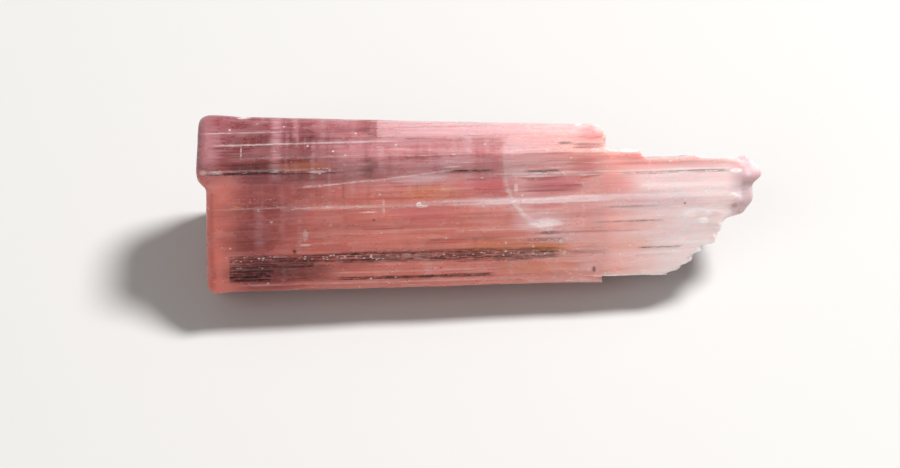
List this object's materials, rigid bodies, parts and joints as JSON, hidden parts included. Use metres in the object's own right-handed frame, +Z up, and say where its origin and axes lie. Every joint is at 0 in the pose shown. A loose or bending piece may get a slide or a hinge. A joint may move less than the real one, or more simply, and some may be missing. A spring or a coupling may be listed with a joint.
{
  "type": "tourmaline crystal",
  "caption": "Rough pink tourmaline crystal: a see-through, finely striated prism with a worn left end and a splintered right end, lying on a long face.",
  "frame": {"origin": "centre of the crystal's box, on the face that it lies on", "axes": "+X along the prism towards its splintered end, -Y towards its front, +Z up"},
  "size_m": [0.0362, 0.01, 0.0103],
  "materials": {
    "pink_tourmaline": "vitreous, see-through pink, with fine lengthwise growth lines and milky veils"
  },
  "bodies": {
    "root": {"tourmaline_crystal": "pink_tourmaline"}
  },
  "joints": []
}
